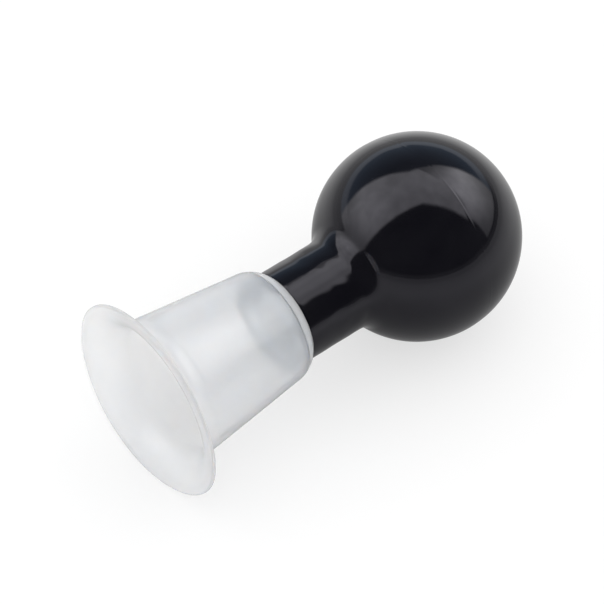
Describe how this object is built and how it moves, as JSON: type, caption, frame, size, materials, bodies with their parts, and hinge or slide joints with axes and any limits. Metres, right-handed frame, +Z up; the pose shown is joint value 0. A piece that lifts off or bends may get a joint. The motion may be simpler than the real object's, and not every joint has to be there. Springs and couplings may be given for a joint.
{
  "type": "squeeze-bulb suction cup",
  "caption": "Hand suction tool: a round black squeeze bulb with a short neck, joined by a hollow flanged connector to a translucent suction cup with a wide flared lip.",
  "frame": {"origin": "on the floor under the middle of the tool as it lies on its side, resting on the ball and on the cup's rim", "axes": "+X along the tool's axis from the cup's mouth towards the bulb, +Z up, +Y across"},
  "size_m": [0.0958, 0.045, 0.045],
  "materials": {
    "clear_silicone": "translucent milky silicone rubber, satin",
    "natural_plastic": "natural translucent moulded plastic, slightly bluish",
    "black_rubber": "glossy dip-moulded black rubber"
  },
  "bodies": {
    "connector": {"connector": "natural_plastic"},
    "cup": {"suction_cup": "clear_silicone"},
    "bulb": {"squeeze_bulb": "black_rubber"}
  },
  "joints": [
    {"name": "cup_pull_off", "type": "slide", "parent": "connector", "child": "cup", "axis": [-1, 0, 0], "range_m": [0, 0.02]},
    {"name": "bulb_squeeze", "type": "slide", "parent": "connector", "child": "bulb", "axis": [-1, 0, 0], "range_m": [0, 0.014], "stiffness_N_per_m": 1000, "deforming": ["squeeze_bulb"]}
  ]
}
